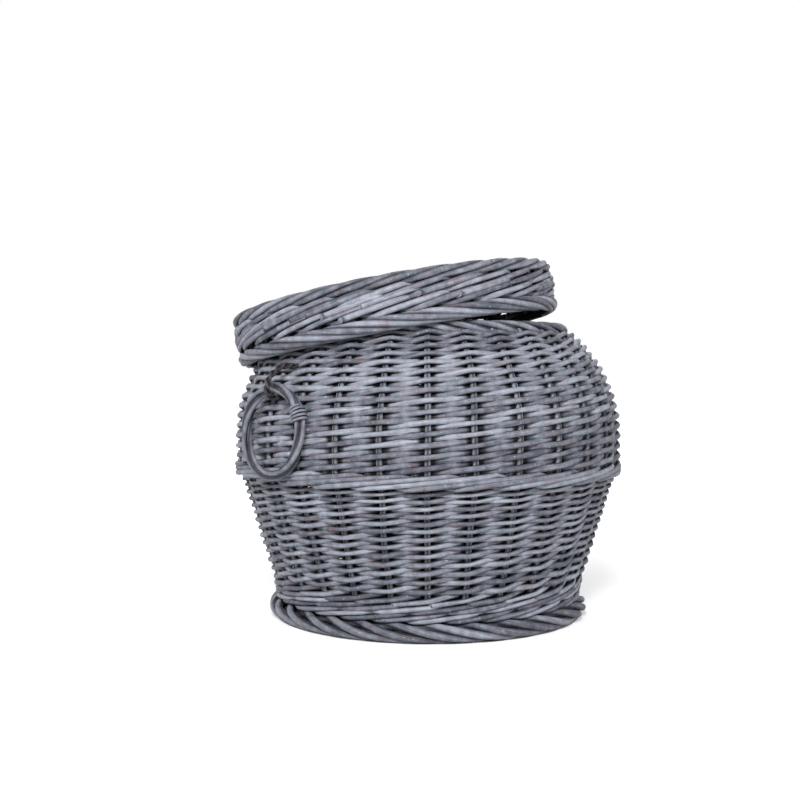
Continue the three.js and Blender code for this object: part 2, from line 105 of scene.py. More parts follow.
# Peeled willow rods, woven first and then dipped in grey stain: matt to satin, with long fine grain, rods
# that took the stain unevenly, thin rubs where brown wood shows, and a few pale flecks
willow = {
    "dark": "#4a4e59",
    "light": "#a2a7b3",
    "brown": "#75585b",
    "fleck": "#c9cace",
    "hollow": "#07080c",     # painted shade in the seams and hollows of the weave, and on what the weave hides
    "toneShare": 0.7,        # how far one rod differs from another
    "blotchSize": 9.0,       # mm, the stain's lighter and darker places
    "blotchShare": 1.1,
    "grainLength": 60.0,     # mm along the rod
    "grainWidth": 0.9,       # mm across it, coarser than real grain so that it shows
    "grainShare": 1.1,
    "rubLength": 26.0,       # mm along the rod
    "rubWidth": 3.2,         # mm across it
    "rubShift": 5.0,         # keeps the rubs off the grain's own lines
    "rubCover": (0.53, 0.72, 0.7),     # noise where rubs begin and are full, and how much they cover
    "fleckSize": 2.4,        # mm
    "fleckCover": (0.66, 0.75, 0.6),   # the same for the flecks
    "fleckRelief": 0.5,      # beside the grain's
    "smooth": 0.46,          # roughness where the stain lies thick
    "rough": 0.70,           # and where the grain is open
    "relief": 0.30 * mm,     # depth of the grain
    "sheen": 0.22,           # specular level, under the usual 0.5 because the stain lies matt
    "ior": 1.5,
}
shades = {                   # lightness that each kind of rod starts from
    "weavers": -1.05,
    "borderRods": -1.05,
    "stakes": -1.0,
    "rings": -0.8,
    "skein": -0.95,
    "loop": -0.95,
}
# the loop's darker colours hold a darker stain and painted shade, for the shadow the loop lies in
loopStainAndShade = dict(willow, dark="#24252a", light="#50525a")


def stainedWillow(name, spec, shade):
    # lightness = shade + the rod's own tone + blotches + grain, and it mixes the dark and the light stain
    material = bpy.data.materials.new(name)
    material.use_nodes = True
    tree = material.node_tree
    tree.nodes.clear()
    uv = addNode(tree, "ShaderNodeUVMap", uv_map="rodLength").outputs[0]  # mm along and round each rod
    place = addNode(tree, "ShaderNodeTexCoord").outputs["Object"]
    fields = {}
    for field in ("tone", "hollow"):
        fields[field] = addNode(tree, "ShaderNodeAttribute", attribute_name=field).outputs["Fac"]
    for field, shift, detail in (("grain", 0, 4), ("rub", spec["rubShift"], 3)):
        stretch = (1 / spec[field + "Length"], 1 / spec[field + "Width"], 1)
        alongInputs = {"Vector": uv, "Scale": stretch, "Location": (shift, shift, shift)}
        along = addNode(tree, "ShaderNodeMapping", alongInputs).outputs[0]
        noiseInputs = {"Vector": along, "Scale": 1, "Detail": detail}
        fields[field] = addNode(tree, "ShaderNodeTexNoise", noiseInputs).outputs[0]
    for field, detail in (("blotch", 3), ("fleck", 2)):
        noiseInputs = {"Vector": place, "Scale": 1 / (spec[field + "Size"] * mm), "Detail": detail}
        fields[field] = addNode(tree, "ShaderNodeTexNoise", noiseInputs).outputs[0]
    lift = shade
    for field in ("tone", "blotch", "grain"):
        liftInputs = {0: fields[field], 1: spec[field + "Share"], 2: lift}
        lift = addNode(tree, "ShaderNodeMath", liftInputs, operation="MULTIPLY_ADD").outputs[0]
    # of a colour Mix, input 0 is the factor, 6 and 7 are the colours, and output 2 is the result
    stainInputs = {0: lift, 6: linear(spec["dark"]), 7: linear(spec["light"])}
    colour = addNode(tree, "ShaderNodeMix", stainInputs, data_type="RGBA").outputs[2]
    for field, paint in (("rub", "brown"), ("fleck", "fleck")):
        begin, full, most = spec[field + "Cover"]
        coverInputs = {"Value": fields[field], "From Min": begin, "From Max": full, "To Max": most}
        cover = addNode(tree, "ShaderNodeMapRange", coverInputs).outputs[0]
        coatInputs = {0: cover, 6: colour, 7: linear(spec[paint])}
        colour = addNode(tree, "ShaderNodeMix", coatInputs, data_type="RGBA").outputs[2]
    # painted shade: mixes the colour towards near black in the seams, on the faces and stakes that the weave
    # hides, and round the cut ends
    hollowInputs = {0: fields["hollow"], 6: colour, 7: linear(spec["hollow"])}
    colour = addNode(tree, "ShaderNodeMix", hollowInputs, data_type="RGBA").outputs[2]
    roughInputs = {"Value": fields["grain"], "To Min": spec["smooth"], "To Max": spec["rough"]}
    rough = addNode(tree, "ShaderNodeMapRange", roughInputs).outputs[0]
    heightInputs = {0: fields["fleck"], 1: spec["fleckRelief"], 2: fields["grain"]}
    height = addNode(tree, "ShaderNodeMath", heightInputs, operation="MULTIPLY_ADD").outputs[0]
    bumpInputs = {"Height": height, "Distance": spec["relief"], "Strength": 1.0}
    bump = addNode(tree, "ShaderNodeBump", bumpInputs).outputs[0]
    surface = addNode(tree, "ShaderNodeBsdfPrincipled", {
        "Base Color": colour,
        "Roughness": rough,
        "Normal": bump,
        "IOR": spec["ior"],
        "Specular IOR Level": spec["sheen"],
    })
    addNode(tree, "ShaderNodeOutputMaterial", {"Surface": surface.outputs[0]})
    return material


weaveWillow = stainedWillow("grey_stained_willow_weavers", willow, shades["weavers"])
borderWillow = stainedWillow("grey_stained_willow_border_rods", willow, shades["borderRods"])
frameWillow = stainedWillow("grey_stained_willow_stakes", willow, shades["stakes"])
ringWillow = stainedWillow("grey_stained_willow_rings", willow, shades["rings"])
skeinWillow = stainedWillow("grey_stained_willow_skein", willow, shades["skein"])
loopWillow = stainedWillow("dark_stained_and_shaded_willow_loop", loopStainAndShade, shades["loop"])
print("camera and materials ready")

# Rods
rodFinish = {
    "chamfer": 0.35,        # at a cut end, as a share of the radius
    "cutRadius": 0.75,      # share of the radius left at the cut
    "cutShade": 0.15,       # painted shade on a rod's first cut
    "cutEdgeShade": 0.85,   # and painted shade round that cut's edge
    "seamShade": 0.97,      # painted shade in the seams between the rods
    "seamReach": 0.88,      # how far it runs over a rod, where 0 is the rod's edge and 1 its crest
    "hiddenShadeFrom": 0.55,     # lay at which the painted shade on the faces that the stakes hide begins
    "hiddenShadeTo": 0.74,       # and at which it is full
    "grainRun": 9000.0,     # mm, each rod's grain starts somewhere on this length
    "waverRates": (0.6, 1.5),  # least and most turns of a waver's sines in one wave
}


def unit(vectors):
    # each vector divided by its own length
    return vectors / np.linalg.norm(vectors, axis=-1, keepdims=True)


def smooth(low, high, value):
    # 0 up to low, 1 from high, and an S-curve between
    share = np.clip((value - low) / (high - low), 0, 1)
    return share * share * (3 - 2 * share)


def nodePoints(name):
    # corners of a frame node, one in each row
    mesh = frame["nodes"][name].data
    flat = np.empty(3 * len(mesh.vertices), np.float32)
    mesh.vertices.foreach_get("co", flat)
    return flat.reshape(-1, 3).astype(float)


def roundAxis(angle, radius, height):
    # point = (radius sin, -radius cos, height), so angles start at -Y and run towards +X
    return np.stack(np.broadcast_arrays(radius * np.sin(angle), -radius * np.cos(angle), height), axis=-1)


def waver(rods, t, size, wave):
    # Slow random waver of each rod: the mean of two sines of t, each with its own phase and length
    phase = draw.uniform(0, 2 * math.pi, (rods, 2, 1))
    rate = draw.uniform(*rodFinish["waverRates"], (rods, 2, 1)) * 2 * math.pi / wave
    return size * np.sin(rate * t + phase).mean(axis=1)


def carryRods(paths, radii, side, corners=8, closed=False, slype=0.0, lay=0.0, sunk=0.0):
    # A circle carried along every path: point = path + radius (cos a side + sin a (tangent x side)), with
    # side made square to the path. An open rod ends in a small chamfer and a flat cut, and slype leans its
    # first cut over, so that the cut shows from the side. lay is 1 where a rod passes in front and -1 where
    # it passes behind, and sunk is 1 where the whole rod is hidden. Its shade field is painted shade: near 1
    # in the seams, on the faces that the stakes hide and where a rod is sunk, and set at the cut ends.
    side = np.broadcast_to(side, paths.shape)
    radii, lay, sunk = [np.broadcast_to(values, paths.shape[:2]) for values in (radii, lay, sunk)]
    if closed:
        tangent = unit(np.roll(paths, -1, axis=1) - np.roll(paths, 1, axis=1))
    else:
        start, end = paths[:, :1], paths[:, -1:]
        inset = rodFinish["chamfer"] * radii[..., None]
        first = start + inset[:, :1] * unit(paths[:, 1:2] - start)
        last = end + inset[:, -1:] * unit(paths[:, -2:-1] - end)
        paths = np.concatenate([start, first, paths[:, 1:-1], last, end], axis=1)
        side, radii, lay, sunk = [np.concatenate([values[:, :1], values, values[:, -1:]], axis=1)
                                  for values in (side, radii, lay, sunk)]
        radii[:, [0, -1]] *= rodFinish["cutRadius"]
        tangent = unit(np.gradient(paths, axis=1))
    side = unit(side - (side * tangent).sum(axis=-1, keepdims=True) * tangent)
    rods, steps = paths.shape[:2]
    turn = math.pi + 2 * math.pi * np.arange(corners) / corners  # the uv's seam lies on the hidden side
    across = np.cross(tangent, side)
    ring = np.cos(turn)[:, None] * side[:, :, None] + np.sin(turn)[:, None] * across[:, :, None]
    points = paths[:, :, None] + radii[:, :, None, None] * ring
    if slype:
        lean = slype * radii[:, :2, None] * np.cos(turn)
        points[:, :2] += lean[..., None] * tangent[:, :2, None]
    grid = np.arange(rods * steps * corners).reshape(rods, steps, corners)
    here, ahead = (grid, np.roll(grid, -1, axis=1)) if closed else (grid[:, :-1], grid[:, 1:])
    quads = np.stack([here, np.roll(here, -1, axis=2), np.roll(ahead, -1, axis=2), ahead], axis=-1)
    caps = np.zeros((0, corners), int) if closed else np.concatenate([grid[:, 0, ::-1], grid[:, -1]])
    # uv in mm: length along the rod, and girth round it
    onward = np.linalg.norm(np.concatenate([paths[:, 1:], paths[:, :1]], axis=1) - paths, axis=-1) / mm
    far = np.cumsum(onward, axis=1) + draw.uniform(0, rodFinish["grainRun"], (rods, 1))
    near = far - onward
    girth = 2 * math.pi * radii.mean(axis=1)[:, None, None] / mm
    around = np.arange(corners) / corners * girth
    beyond = around + girth / corners
    runs = here.shape[1]
    shape = (rods, runs, corners)
    corner = [(near, around), (near, beyond), (far, beyond), (far, around)]
    uv = [np.stack([np.broadcast_to(u[:, :runs, None], shape), np.broadcast_to(v, shape)], axis=-1)
          for u, v in corner]
    capUv = np.stack([np.cos(turn), np.sin(turn)], axis=-1) * radii.mean() / mm
    tone = np.repeat(draw.uniform(0, 1, rods), steps * corners)
    facing = np.cos(turn)
    # painted shade along the seams, where each rod's edge meets its neighbour
    seam = rodFinish["seamShade"] * (1 - smooth(0, rodFinish["seamReach"], np.abs(facing)))
    # painted shade on the faces turned towards the stake that hides them
    away = -lay[:, :, None] * np.sign(facing)
    behind = smooth(rodFinish["hiddenShadeFrom"], rodFinish["hiddenShadeTo"], away)
    hollow = np.maximum(np.maximum(behind, seam), sunk[:, :, None])
    # painted shade: a little on the cut face, and dark round its edge
    if not closed:
        hollow[:, 0] = rodFinish["cutShade"]
        hollow[:, 1] = rodFinish["cutEdgeShade"]
    return {
        "points": points.reshape(-1, 3),
        "quads": quads.reshape(-1, 4),
        "caps": caps,
        "uv": np.concatenate([np.stack(uv, axis=-2).reshape(-1, 2), np.tile(capUv, (len(caps), 1))]),
        "tone": tone,
        "hollow": hollow.ravel(),
    }


def makePiece(name, parts, material, body, nodes, place=None):
    # Joins carried rods into one mesh object, which rides on a body and stands for its CAD nodes
    points, loops, totals, uv, first = [], [], [], [], 0
    for part in parts:
        points.append(part["points"])
        for faces in (part["quads"], part["caps"]):
            loops.append((faces + first).ravel())
            totals.append(np.full(len(faces), faces.shape[1]))
        uv.append(part["uv"])
        first += len(part["points"])
    points, loops, totals = np.concatenate(points), np.concatenate(loops), np.concatenate(totals)
    if place is not None:
        points = points @ place["turn"].T + place["origin"]
    mesh = bpy.data.meshes.new(name)
    mesh.vertices.add(len(points))
    mesh.vertices.foreach_set("co", points.ravel())
    mesh.loops.add(len(loops))
    mesh.loops.foreach_set("vertex_index", loops)
    mesh.polygons.add(len(totals))
    mesh.polygons.foreach_set("loop_start", np.cumsum(totals) - totals)
    mesh.polygons.foreach_set("use_smooth", totals == 4)  # the flat caps have more corners
    mesh.update(calc_edges=True)
    mesh.uv_layers.new(name="rodLength").data.foreach_set("uv", np.concatenate(uv).ravel())
    for field in ("tone", "hollow"):
        values = mesh.attributes.new(field, "FLOAT", "POINT")
        values.data.foreach_set("value", np.concatenate([part[field] for part in parts]))
    mesh.materials.append(material)
    piece = bpy.data.objects.new(name, mesh)
    bpy.context.scene.collection.objects.link(piece)
    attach(piece, body)
    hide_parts(*nodes)
    print(name, "has", int((totals - 2).sum()), "triangles")


# Wall lines: radius and height of the stakes' middle, from the frame
wall = {
    "thickness": 18.0 * mm,
    "stakeDepth": 8.0 * mm,      # from the outside to the stakes' middle
    "ribDepth": 4.2 * mm,        # how far the frame's upper band is sunk at its edges
    "shoulderRise": 28.0 * mm,   # upright stretch between the belly and the dome
    "domeRadius": 161.5 * mm,
    "arcSteps": 40,
    "slice": 0.5 * mm,           # half the height of the slice that a radius is read from
}


def innerRadius(node, height):
    # least radius of a frame node at a height
    points = nodePoints(node)
    atHeight = points[np.abs(points[:, 2] - height) < wall["slice"]]
    return np.hypot(atHeight[:, 0], atHeight[:, 1]).min()


def ringLine(node):
    # straight from the ring's lower edge to its upper edge
    heights = [corner.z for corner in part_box(node)]
    inset = wall["thickness"] - wall["stakeDepth"]
    return np.array([[innerRadius(node, height) + inset, height] for height in heights])


def shoulderLine(spec):
    # upright, then an arc that leans in as far as the upper band's top edge
    low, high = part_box("upper_band")
    belly = innerRadius("upper_band", low.z) + spec["thickness"]
    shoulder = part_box("belly_wale")[1].z + spec["shoulderRise"]
    neck = math.asin((high.z - shoulder) / (spec["domeRadius"] - spec["ribDepth"]))
    turn = np.linspace(0, neck, spec["arcSteps"])
    middle = spec["domeRadius"] - spec["stakeDepth"]
    radius = belly - spec["domeRadius"] + middle * np.cos(turn)
    arc = np.column_stack([radius, shoulder + middle * np.sin(turn)])
    return np.concatenate([[[belly - spec["stakeDepth"], low.z]], arc])


def alongLine(line, climb):
    # radius and height at a length along a line, and the direction square to the line, outwards
    steps = np.linalg.norm(np.diff(line, axis=0), axis=1)
    length = np.concatenate([[0], np.cumsum(steps)])
    slope = unit(np.gradient(line, length, axis=0))
    spots = [line[:, 0], line[:, 1], slope[:, 1], -slope[:, 0]]
    return [np.interp(climb, length, spot) for spot in spots]


def lineLength(line):
    # sum of the steps from point to point
    return np.linalg.norm(np.diff(line, axis=0), axis=1).sum()


def onWall(line, angle, climb, swing):
    # points that stand a swing off the line, with the wall's own outward direction for each
    radius, height, outX, outZ = alongLine(line, climb)
    paths = roundAxis(angle, radius + swing * outX, height + swing * outZ)
    return paths, roundAxis(angle, outX, outZ)


waleLine = ringLine("bottom_wale")
lowerLine = ringLine("lower_band")
bellyLine = ringLine("belly_wale")
upperLine = shoulderLine(wall)

# Stakes
stake = {
    "diameter": 6.6 * mm,
    "bite": 0.7 * mm,         # how far the weavers press in
    "steps": 48,
    "footDepth": 16.0 * mm,   # how far they run down into the foot border
    "rimDepth": 12.0 * mm,    # and on into the rim border
    "shadedTo": 0.7,            # painted shade full up to this share of the foot depth, where the border hides them
    "unshadedFrom": 1.3,         # and no more from this one
    "waver": 0.006,           # radians
    "wave": 0.15,             # length of the waver
}


def makeStakes(spec):
    # each stake follows the wall's middle line from border to border
    line = np.concatenate([waleLine, lowerLine[1:], bellyLine[1:], upperLine[1:]])
    down = line[:1] - [[0, spec["footDepth"]]]
    up = line[-1:] + spec["rimDepth"] * unit(line[-1:] - line[-2:-1])
    line = np.concatenate([down, line, up])
    climb = np.linspace(0, lineLength(line), spec["steps"])
    middles = ((np.arange(stakeCount) + 0.5) * pitch)[:, None]
    angle = middles + waver(stakeCount, climb, spec["waver"], spec["wave"])
    paths = onWall(line, angle, climb, 0)[0]
    across = roundAxis(angle + math.pi / 2, 1.0, 0.0)
    foot = spec["footDepth"]
    # painted shade on the stakes where the foot border hides them
    sunk = 1 - smooth(spec["shadedTo"] * foot, spec["unshadedFrom"] * foot, climb)
    rods = carryRods(paths, spec["diameter"] / 2, across, sunk=sunk)
    nodes = [name for name in frame["nodes"] if name.startswith("stake_")]
    makePiece("stakes", [rods], frameWillow, "basket", nodes)


makeStakes(stake)

# Woven bands in French randing: a rod starts at every stake, and each goes in front of one stake and
# behind the next, climbing all the way
lowerBand = {
    "firstRow": 11.0 * mm,   # from one stroke to the next in front of the same stake
    "lastRow": 7.4 * mm,
    "fill": 0.56,            # rod thickness as a share of the row
    "fillTip": 0.62,         # and at the rod's tip
    "hidden": 0.50,          # rods are this much thicker where they pass behind
    "bed": 0.42,             # how far a rod stands off its stake, as a share of its thickness
    "lead": 0.95,            # stakes that the butt reaches back from its first stake
    "tail": 0.9,             # stakes that the tip stops short of the last row's end
    "buttsOutside": True,
    "slype": 0.5,            # slant of the cut butts
    "climbWaver": 0.6 * mm,
    "climbWave": 2.7,        # stakes
    "thickWaver": 0.16,      # of the thickness
    "thickWave": 2.6,        # stakes
    "steps": 12,             # for each stake passed
}
upperBand = dict(
    lowerBand,
    firstRow=12.3 * mm,
    lastRow=10.0 * mm,
    fill=0.52,
    fillTip=0.56,
    hidden=0.6,
    lead=1.35,
    buttsOutside=False,
)
zigzagSharpness = 0.97  # at 1 the rods would turn in a point


def zigzag(t):
    # 1 in front of the even stakes and -1 behind the odd ones: arcsin(sharpness cos(pi t)), which runs
    # straight from stake to stake and turns in a small round
    return np.arcsin(zigzagSharpness * np.cos(math.pi * t)) / math.asin(zigzagSharpness)


def frenchRand(line, spec):
    # Rod j at t stakes from its start: angle = (j + t + 1/2) pitch, swing = reach zigzag(t), where outside
    # butts are held outside up to the first stake. Rows get lower as the rods taper: x = (t + 1) / 2 rows
    # up, climb = first x + (last - first) x^2 / (2 rows), stretched to fill the line.
    first, last = spec["firstRow"], spec["lastRow"]
    rows = round(2 * lineLength(line) / (first + last))
    steps = round(spec["steps"] * (2 * rows + spec["lead"]))
    t = np.linspace(-spec["lead"], 2 * rows - spec["tail"], steps)
    up = (t + 1) / 2
    stretch = lineLength(line) / (rows * (first + last) / 2)
    climb = stretch * (first * up + (last - first) * up ** 2 / (2 * rows))
    climb = climb + waver(stakeCount, t, spec["climbWaver"], spec["climbWave"])
    lay = np.where((t < 0) & spec["buttsOutside"], 1, zigzag(t))
    fill = spec["fill"] + (spec["fillTip"] - spec["fill"]) * up / rows
    row = first + (last - first) * up / rows
    thick = fill * row * (1 + waver(stakeCount, t, spec["thickWaver"], spec["thickWave"]))
    swing = (stake["diameter"] / 2 - stake["bite"] + spec["bed"] * thick) * lay
    radii = thick / 2 * (1 + spec["hidden"] * (1 - lay) / 2)
    angle = (np.arange(stakeCount)[:, None] + 0.5 + t) * pitch
    paths, out = onWall(line, angle, climb, swing)
    return carryRods(paths, radii, out, slype=spec["slype"], lay=lay)


def makeBands():
    # one band up to the belly, the other from there over the shoulder to the rim
    lower = frenchRand(lowerLine, lowerBand)
    upper = frenchRand(upperLine, upperBand)
    makePiece("lower_band_rods", [lower], weaveWillow, "basket", ["lower_band"])
    makePiece("upper_band_rods", [upper], weaveWillow, "basket", ["upper_band"])


makeBands()

# Wales: strands that go in front of several stakes and behind one, each stroke rising to the right
bottomWale = {
    "strands": 3,
    "rounds": 2,
    "diameter": 5.9 * mm,
    "line": 5.0 * mm,         # spacing of the strokes
    "base": 2.6 * mm,         # height of the first stroke
    "bed": 0.9,               # how far a strand stands off its stake, as a share of its radius
    "slip": 0.45,             # stakes that a stroke rises on, past its first and last stake in front
    "stepUp": 2.0,            # stakes in which a round climbs to the next
    "tail": 3,                # stakes that a strand starts early, to fill in under that climb
    "startStake": 11,         # at the back
    "climbWaver": 0.6 * mm,
    "climbWave": 4.0,         # stakes
    "thickWaver": 0.1,
    "thickWave": 6.0,         # stakes
    "steps": 7,               # for each stake passed
}
bellyWale = dict(bottomWale, strands=4, rounds=1, diameter=6.2 * mm, line=4.8 * mm, tail=0)
tiny = 1e-9  # so that a whole turn counts as done


def wale(line, spec):
    # Strand k at u stakes from its start: angle = (k + u) pitch past the first start, and phase counts the
    # stakes in front, then the one behind. It lies in front but for that one: swing = -reach cos(pi b),
    # where b is how far it is from that stake, 1 at most. Its height rises by one line for each stake
    # in front and drops back behind. At the end of a round it climbs to the next.
    count = spec["strands"]
    front = count - 1
    stakesPassed = stakeCount * spec["rounds"]
    u = np.linspace(-spec["tail"], stakesPassed, (stakesPassed + spec["tail"]) * spec["steps"] + 1)
    phase = (u + front) % count  # every strand starts behind a stake
    behind = np.abs((phase - front + count / 2) % count - count / 2)
    stroke = np.where(phase > front, phase - count, phase)
    half = front / 2 - 0.5
    bottom, top = -spec["slip"], front - 1 + spec["slip"]
    rise = np.interp(stroke, [-1.0, bottom, top, front], [half, bottom, top, half])
    turns = u / stakeCount
    settled = np.floor(turns + tiny)
    late = ((turns - settled) * stakeCount - stakeCount + spec["stepUp"]) / spec["stepUp"]
    lap = np.clip(settled + np.clip(late, 0, 1), 0, spec["rounds"] - 1)
    climb = spec["base"] + spec["line"] * (rise + front * lap)
    climb = climb + waver(count, u, spec["climbWaver"], spec["climbWave"])
    radii = spec["diameter"] / 2 * (1 + waver(count, u, spec["thickWaver"], spec["thickWave"]))
    lay = np.broadcast_to(-np.cos(math.pi * np.minimum(behind, 1)), radii.shape)
    swing = (stake["diameter"] / 2 - stake["bite"] + spec["bed"] * radii) * lay
    angle = (np.arange(count)[:, None] + u + spec["startStake"] + front + 0.5) * pitch
    paths, out = onWall(line, angle, climb, swing)
    return carryRods(paths, radii, out, lay=lay)


def makeWales():
    # one above the foot border, the other at the belly, between the bands
    bottom = wale(waleLine, bottomWale)
    belly = wale(bellyLine, bellyWale)
    makePiece("bottom_wale_rods", [bottom], weaveWillow, "basket", ["bottom_wale"])
    makePiece("belly_wale_rods", [belly], weaveWillow, "basket", ["belly_wale"])


makeWales()

# Borders: rods laid in slantwise, one from every stake, each winding round the border's section
footBorder = {
    "rod": 9.2 * mm,
    "bulge": 4.6 * mm,    # how far the rods stand out past the frame's section
    "span": 5.2,          # stakes that a rod runs past
    "fromTurn": 225.0,    # degrees round the section: 0 is outside, 90 on top
    "toTurn": -100.0,
    "haste": 2.3,         # above 1, steep at the start and flat at the end
    "tip": 0.8,           # share of its thickness that the rod ends with
    "turnWaver": 0.12,    # radians
    "turnWave": 0.8,      # of the rod's run
    "thickWaver": 0.07,
    "thickWave": 0.7,     # of the rod's run
    "steps": 40,
    "corners": 12,
}
rimBorder = dict(footBorder, rod=8.6 * mm, bulge=0, span=4.0, fromTurn=215.0, toTurn=-145.0, haste=1.0)
lidLowerBorder = dict(footBorder, rod=8.4 * mm, bulge=0.8 * mm, span=3.9, fromTurn=130.0, haste=1.5)
lidTopBorder = dict(footBorder, rod=7.8 * mm, bulge=0, span=3.8, fromTurn=-110.0, toTurn=200.0, haste=1.0)
level = {"turn": np.eye(3), "origin": np.zeros(3)}  # the basket's own place


def section(node, place=level):
    # middle radius, middle height, width and depth of a ring's section, about the axis of its place
    points = (nodePoints(node) - place["origin"]) @ place["turn"]
    reach = np.hypot(points[:, 0], points[:, 1])
    heights = points[:, 2]
    middle = [(values.max() + values.min()) / 2 for values in (reach, heights)]
    return (*middle, np.ptp(reach), np.ptp(heights))


def laidBorder(spec, radius, height, width, depth):
    # Rod j at share q of its run: angle = (j + 1/2 + span q) pitch, section turn goes from one end to the
    # other with haste, and the rod lies inside the section's ellipse by its own thickness
    q = np.linspace(0, 1, spec["steps"])
    eased = 1 - (1 - q) ** spec["haste"]
    turn = np.radians(spec["fromTurn"] + (spec["toTurn"] - spec["fromTurn"]) * eased)
    turn = turn + waver(stakeCount, q, spec["turnWaver"], spec["turnWave"])
    radii = spec["rod"] / 2 * (1 + (spec["tip"] - 1) * q)
    radii = radii * (1 + waver(stakeCount, q, spec["thickWaver"], spec["thickWave"]))
    outward = (width / 2 - radii) * np.cos(turn) + spec["bulge"] * np.maximum(np.cos(turn), 0)
    upward = (depth / 2 - radii) * np.sin(turn)
    angle = (np.arange(stakeCount)[:, None] + 0.5 + spec["span"] * q) * pitch
    paths = roundAxis(angle, radius + outward, height + upward)
    out = roundAxis(angle, np.cos(turn), np.sin(turn))
    return carryRods(paths, radii, out, corners=spec["corners"])


def makeBorders():
    # each fills the section of its frame node
    foot = laidBorder(footBorder, *section("foot_border"))
    rim = laidBorder(rimBorder, *section("rim_border"))
    makePiece("foot_border_rods", [foot], borderWillow, "basket", ["foot_border"])
    makePiece("rim_border_rods", [rim], borderWillow, "basket", ["rim_border"])


makeBorders()

# Base and lid top: split sticks with thinner ones threaded through them, fanned out and woven round
roundWeave = {
    "splitSticks": 4,
    "splitDiameter": 9.0 * mm,
    "splitSpacing": 10.3 * mm,
    "splitBend": 14.0 * mm,      # straight from the middle up to here
    "threadedSticks": 3,
    "threadedDiameter": 5.6 * mm,
    "threadedSpacing": 8.2 * mm,
    "threadedBend": 22.0 * mm,
    "bendRun": 3.0,              # bends out from the middle, from where a stick lies on its own spoke
    "taper": 0.62,               # share of a split stick's thickness left at its end
    "weaver": 6.2 * mm,
    "bed": 0.3,                  # how far it stands off a stick, as a share of its thickness
    "row": 4.5 * mm,
    "opening": 23.0 * mm,        # where the weaving starts
    "tied": 42.0 * mm,           # up to here it goes over and under whole bundles
    "tiedWaves": 2,              # in a turn
    "edgeTurns": 0.5,            # turns that run level along the edge
    "waver": 0.5 * mm,
    "wave": 1.3,                 # radians
    "steps": 8,                  # for each spoke passed
    "stickSteps": 60,
    "splitCorners": 10,
    "weaverCorners": 6,
}


def bundle(kind, reach, spec):
    # Stick i runs straight through the middle and then bends to its own spoke:
    # across = place spacing near the middle, |along| tan(place step) further out
    count, bend = spec[kind + "Sticks"], spec[kind + "Bend"]
    place = (np.arange(count) - (count - 1) / 2)[:, None]
    turn = place * math.pi / (spec["splitSticks"] + spec["threadedSticks"])
    along = reach * np.cos(turn) * np.linspace(-1, 1, spec["stickSteps"])
    far = smooth(bend, spec["bendRun"] * bend, np.abs(along))
    across = place * spec[kind + "Spacing"] * (1 - far) + np.abs(along) * np.tan(turn) * far
    return along, across


def wovenRound(reach, spec):
    # Sticks, and two strands that spiral out in turn: height = swing sin(spokes/2 psi), or
    # swing cos(tied waves psi) where they tie the bundles
    along, across = bundle("split", reach, spec)
    split = np.stack([along, across, 0 * along], axis=-1)
    along, across = bundle("threaded", reach, spec)
    threaded = np.stack([across, along, 0 * along], axis=-1)
    spokes = 2 * (spec["splitSticks"] + spec["threadedSticks"])
    edge = reach - spec["weaver"] / 2
    turns = (edge - spec["opening"]) / (2 * spec["row"]) + spec["edgeTurns"]
    psi = np.linspace(0, 2 * math.pi * turns, round(turns * spokes * spec["steps"]))
    strand = np.array([[0], [1]])
    radius = spec["opening"] + spec["row"] * (psi / math.pi + strand)
    radius = np.minimum(radius + waver(2, psi, spec["waver"], spec["wave"]), edge)
    loose = smooth(spec["tied"], spec["tied"] + 2 * spec["row"], radius)
    wave = np.cos(spec["tiedWaves"] * psi) * (1 - loose) + np.sin(spokes / 2 * psi) * loose
    thin = 1 - (1 - spec["taper"]) * radius / reach
    swing = (spec["splitDiameter"] * thin / 2 + spec["bed"] * spec["weaver"]) * wave * (1 - 2 * strand)
    spiral = np.stack([radius * np.cos(psi), radius * np.sin(psi), swing], axis=-1)
    up = np.array([0.0, 0.0, 1.0])
    slim = 1 - (1 - spec["taper"]) * np.abs(np.linspace(-1, 1, spec["stickSteps"]))
    return {
        "split": carryRods(split, spec["splitDiameter"] / 2 * slim, up, corners=spec["splitCorners"]),
        "threaded": carryRods(threaded, spec["threadedDiameter"] / 2, up),
        "weave": carryRods(spiral, spec["weaver"] / 2, up, corners=spec["weaverCorners"]),
    }


def makeRound(start, body, weaveNode, place):
    # sticks and weave at the middle height of the woven node; the sticks' nodes begin with start
    radius, height, width = section(weaveNode, place)[:3]
    parts = wovenRound(radius + width / 2, roundWeave)
    raised = dict(place, origin=place["origin"] + place["turn"] @ np.array([0, 0, height]))
    sticks = [parts["split"], parts["threaded"]]
    nodes = [name for name in frame["nodes"] if name.startswith(start + "_") and "_stick_" in name]
    makePiece(start + "_sticks", sticks, frameWillow, body, nodes, raised)
    weaveName = weaveNode + "_rods"
    makePiece(weaveName, [parts["weave"]], weaveWillow, body, [weaveNode], raised)


makeRound("base", "basket", "base_weave", level)

